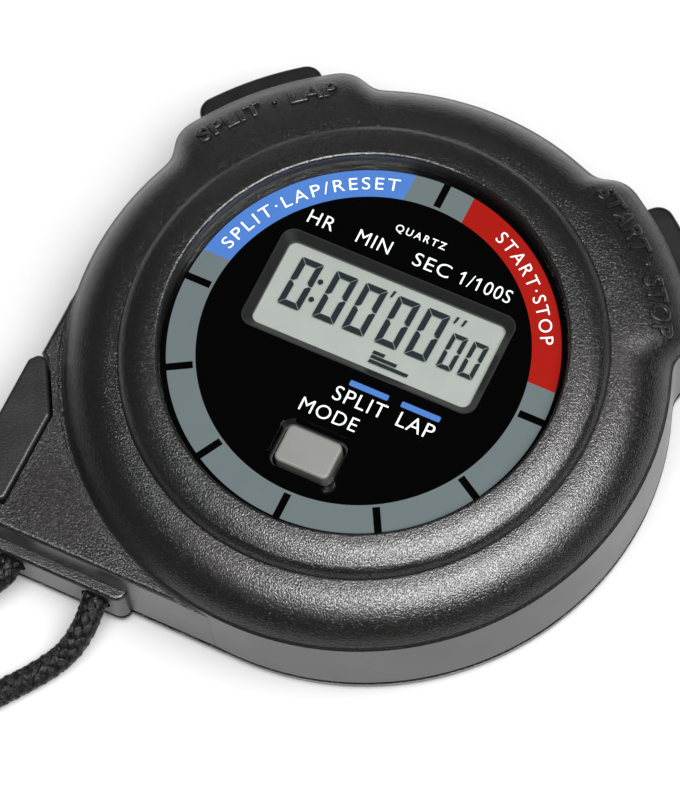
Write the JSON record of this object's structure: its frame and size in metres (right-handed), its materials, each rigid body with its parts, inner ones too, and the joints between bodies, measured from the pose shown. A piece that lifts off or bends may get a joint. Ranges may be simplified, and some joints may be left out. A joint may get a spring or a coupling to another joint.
{
  "type": "digital stopwatch",
  "caption": "Round digital stopwatch with an LCD under a clear lens, two side buttons, a mode button on the face and a braided neck cord.",
  "frame": {"origin": "on the dial's axis, at the flat back that the stopwatch lies on", "axes": "+Z out of the dial, +Y to 12 o'clock, +X to 3 o'clock"},
  "size_m": [0.1025, 0.1065, 0.0178],
  "materials": {
    "case_plastic": "black ABS, fine spark-eroded grain on top, smooth side walls",
    "pad_plastic": "black ABS, fine grain",
    "button_plastic": "black ABS, smooth",
    "mode_cap_plastic": "warm grey ABS, satin",
    "clear_acrylic": "polished clear acrylic",
    "adhesive": "double-sided tape",
    "dial_print": "printed dial: black, grey ring, blue and red arcs, white lettering",
    "frame_plastic": "dark grey ABS",
    "polariser_film": "grey-green polarising film with the display's segments",
    "lcd_glass": "thin glass",
    "reflector_film": "satin reflector",
    "connector_rubber": "layered conductive rubber",
    "housing_plastic": "black ABS",
    "board_laminate": "green laminate with solder mask",
    "black_resin": "potting resin",
    "nickel_plate": "nickel-plated steel",
    "ceramic": "ceramic",
    "spring_steel": "stainless spring steel",
    "buzzer_brass": "brass disc",
    "contact_bronze": "phosphor bronze",
    "silicone": "grey silicone rubber",
    "black_steel": "black-plated steel",
    "cord_braid": "black braided polyester",
    "tie_fabric": "black woven band"
  },
  "bodies": {
    "case": {"upper_case": "case_plastic", "back_cover": "case_plastic", "side_pad": "pad_plastic", "lens": "clear_acrylic", "lens_adhesive": "adhesive", "dial_card": "dial_print", "window_frame": "frame_plastic", "lcd_front_polariser": "polariser_film", "lcd_front_glass": "lcd_glass", "lcd_rear_glass": "lcd_glass", "lcd_reflector": "reflector_film", "upper_connector_strip": "connector_rubber", "lower_connector_strip": "connector_rubber", "module_housing": "housing_plastic", "circuit_board": "board_laminate", "chip_blob": "black_resin", "quartz_crystal": "nickel_plate", "chip_capacitors": "ceramic", "coin_cell": "nickel_plate", "battery_plus_strap": "spring_steel", "battery_minus_leaf": "spring_steel", "piezo_buzzer": "buzzer_brass", "buzzer_spring": "spring_steel", "start_stop_spring": "spring_steel", "start_stop_contact": "contact_bronze", "split_lap_spring": "spring_steel", "split_lap_contact": "contact_bronze", "mode_rubber_key": "silicone", "case_screws": "black_steel", "module_screws": "black_steel", "cord_anchor_loop": "cord_braid", "cord_strand_a": "cord_braid", "cord_strand_b": "cord_braid", "cord_coil": "cord_braid", "cord_tie": "tie_fabric"},
    "start_stop_button": {"start_stop_button": "button_plastic"},
    "split_lap_button": {"split_lap_button": "button_plastic"},
    "mode_button": {"mode_button": "mode_cap_plastic"}
  },
  "joints": [
    {"name": "start_stop_press", "type": "slide", "parent": "case", "child": "start_stop_button", "axis": [-0.7071, -0.7071, 0], "range_m": [0, 0.001], "stiffness_N_per_m": 1500, "springref_m": -0.0008, "deforming": ["start_stop_spring", "start_stop_contact"]},
    {"name": "split_lap_press", "type": "slide", "parent": "case", "child": "split_lap_button", "axis": [0.7071, -0.7071, 0], "range_m": [0, 0.001], "stiffness_N_per_m": 1500, "springref_m": -0.0008, "deforming": ["split_lap_spring", "split_lap_contact"]},
    {"name": "mode_press", "type": "slide", "parent": "case", "child": "mode_button", "axis": [0, 0, -1], "range_m": [0, 0.0008], "stiffness_N_per_m": 1200, "springref_m": -0.0006, "deforming": ["mode_rubber_key"]}
  ]
}
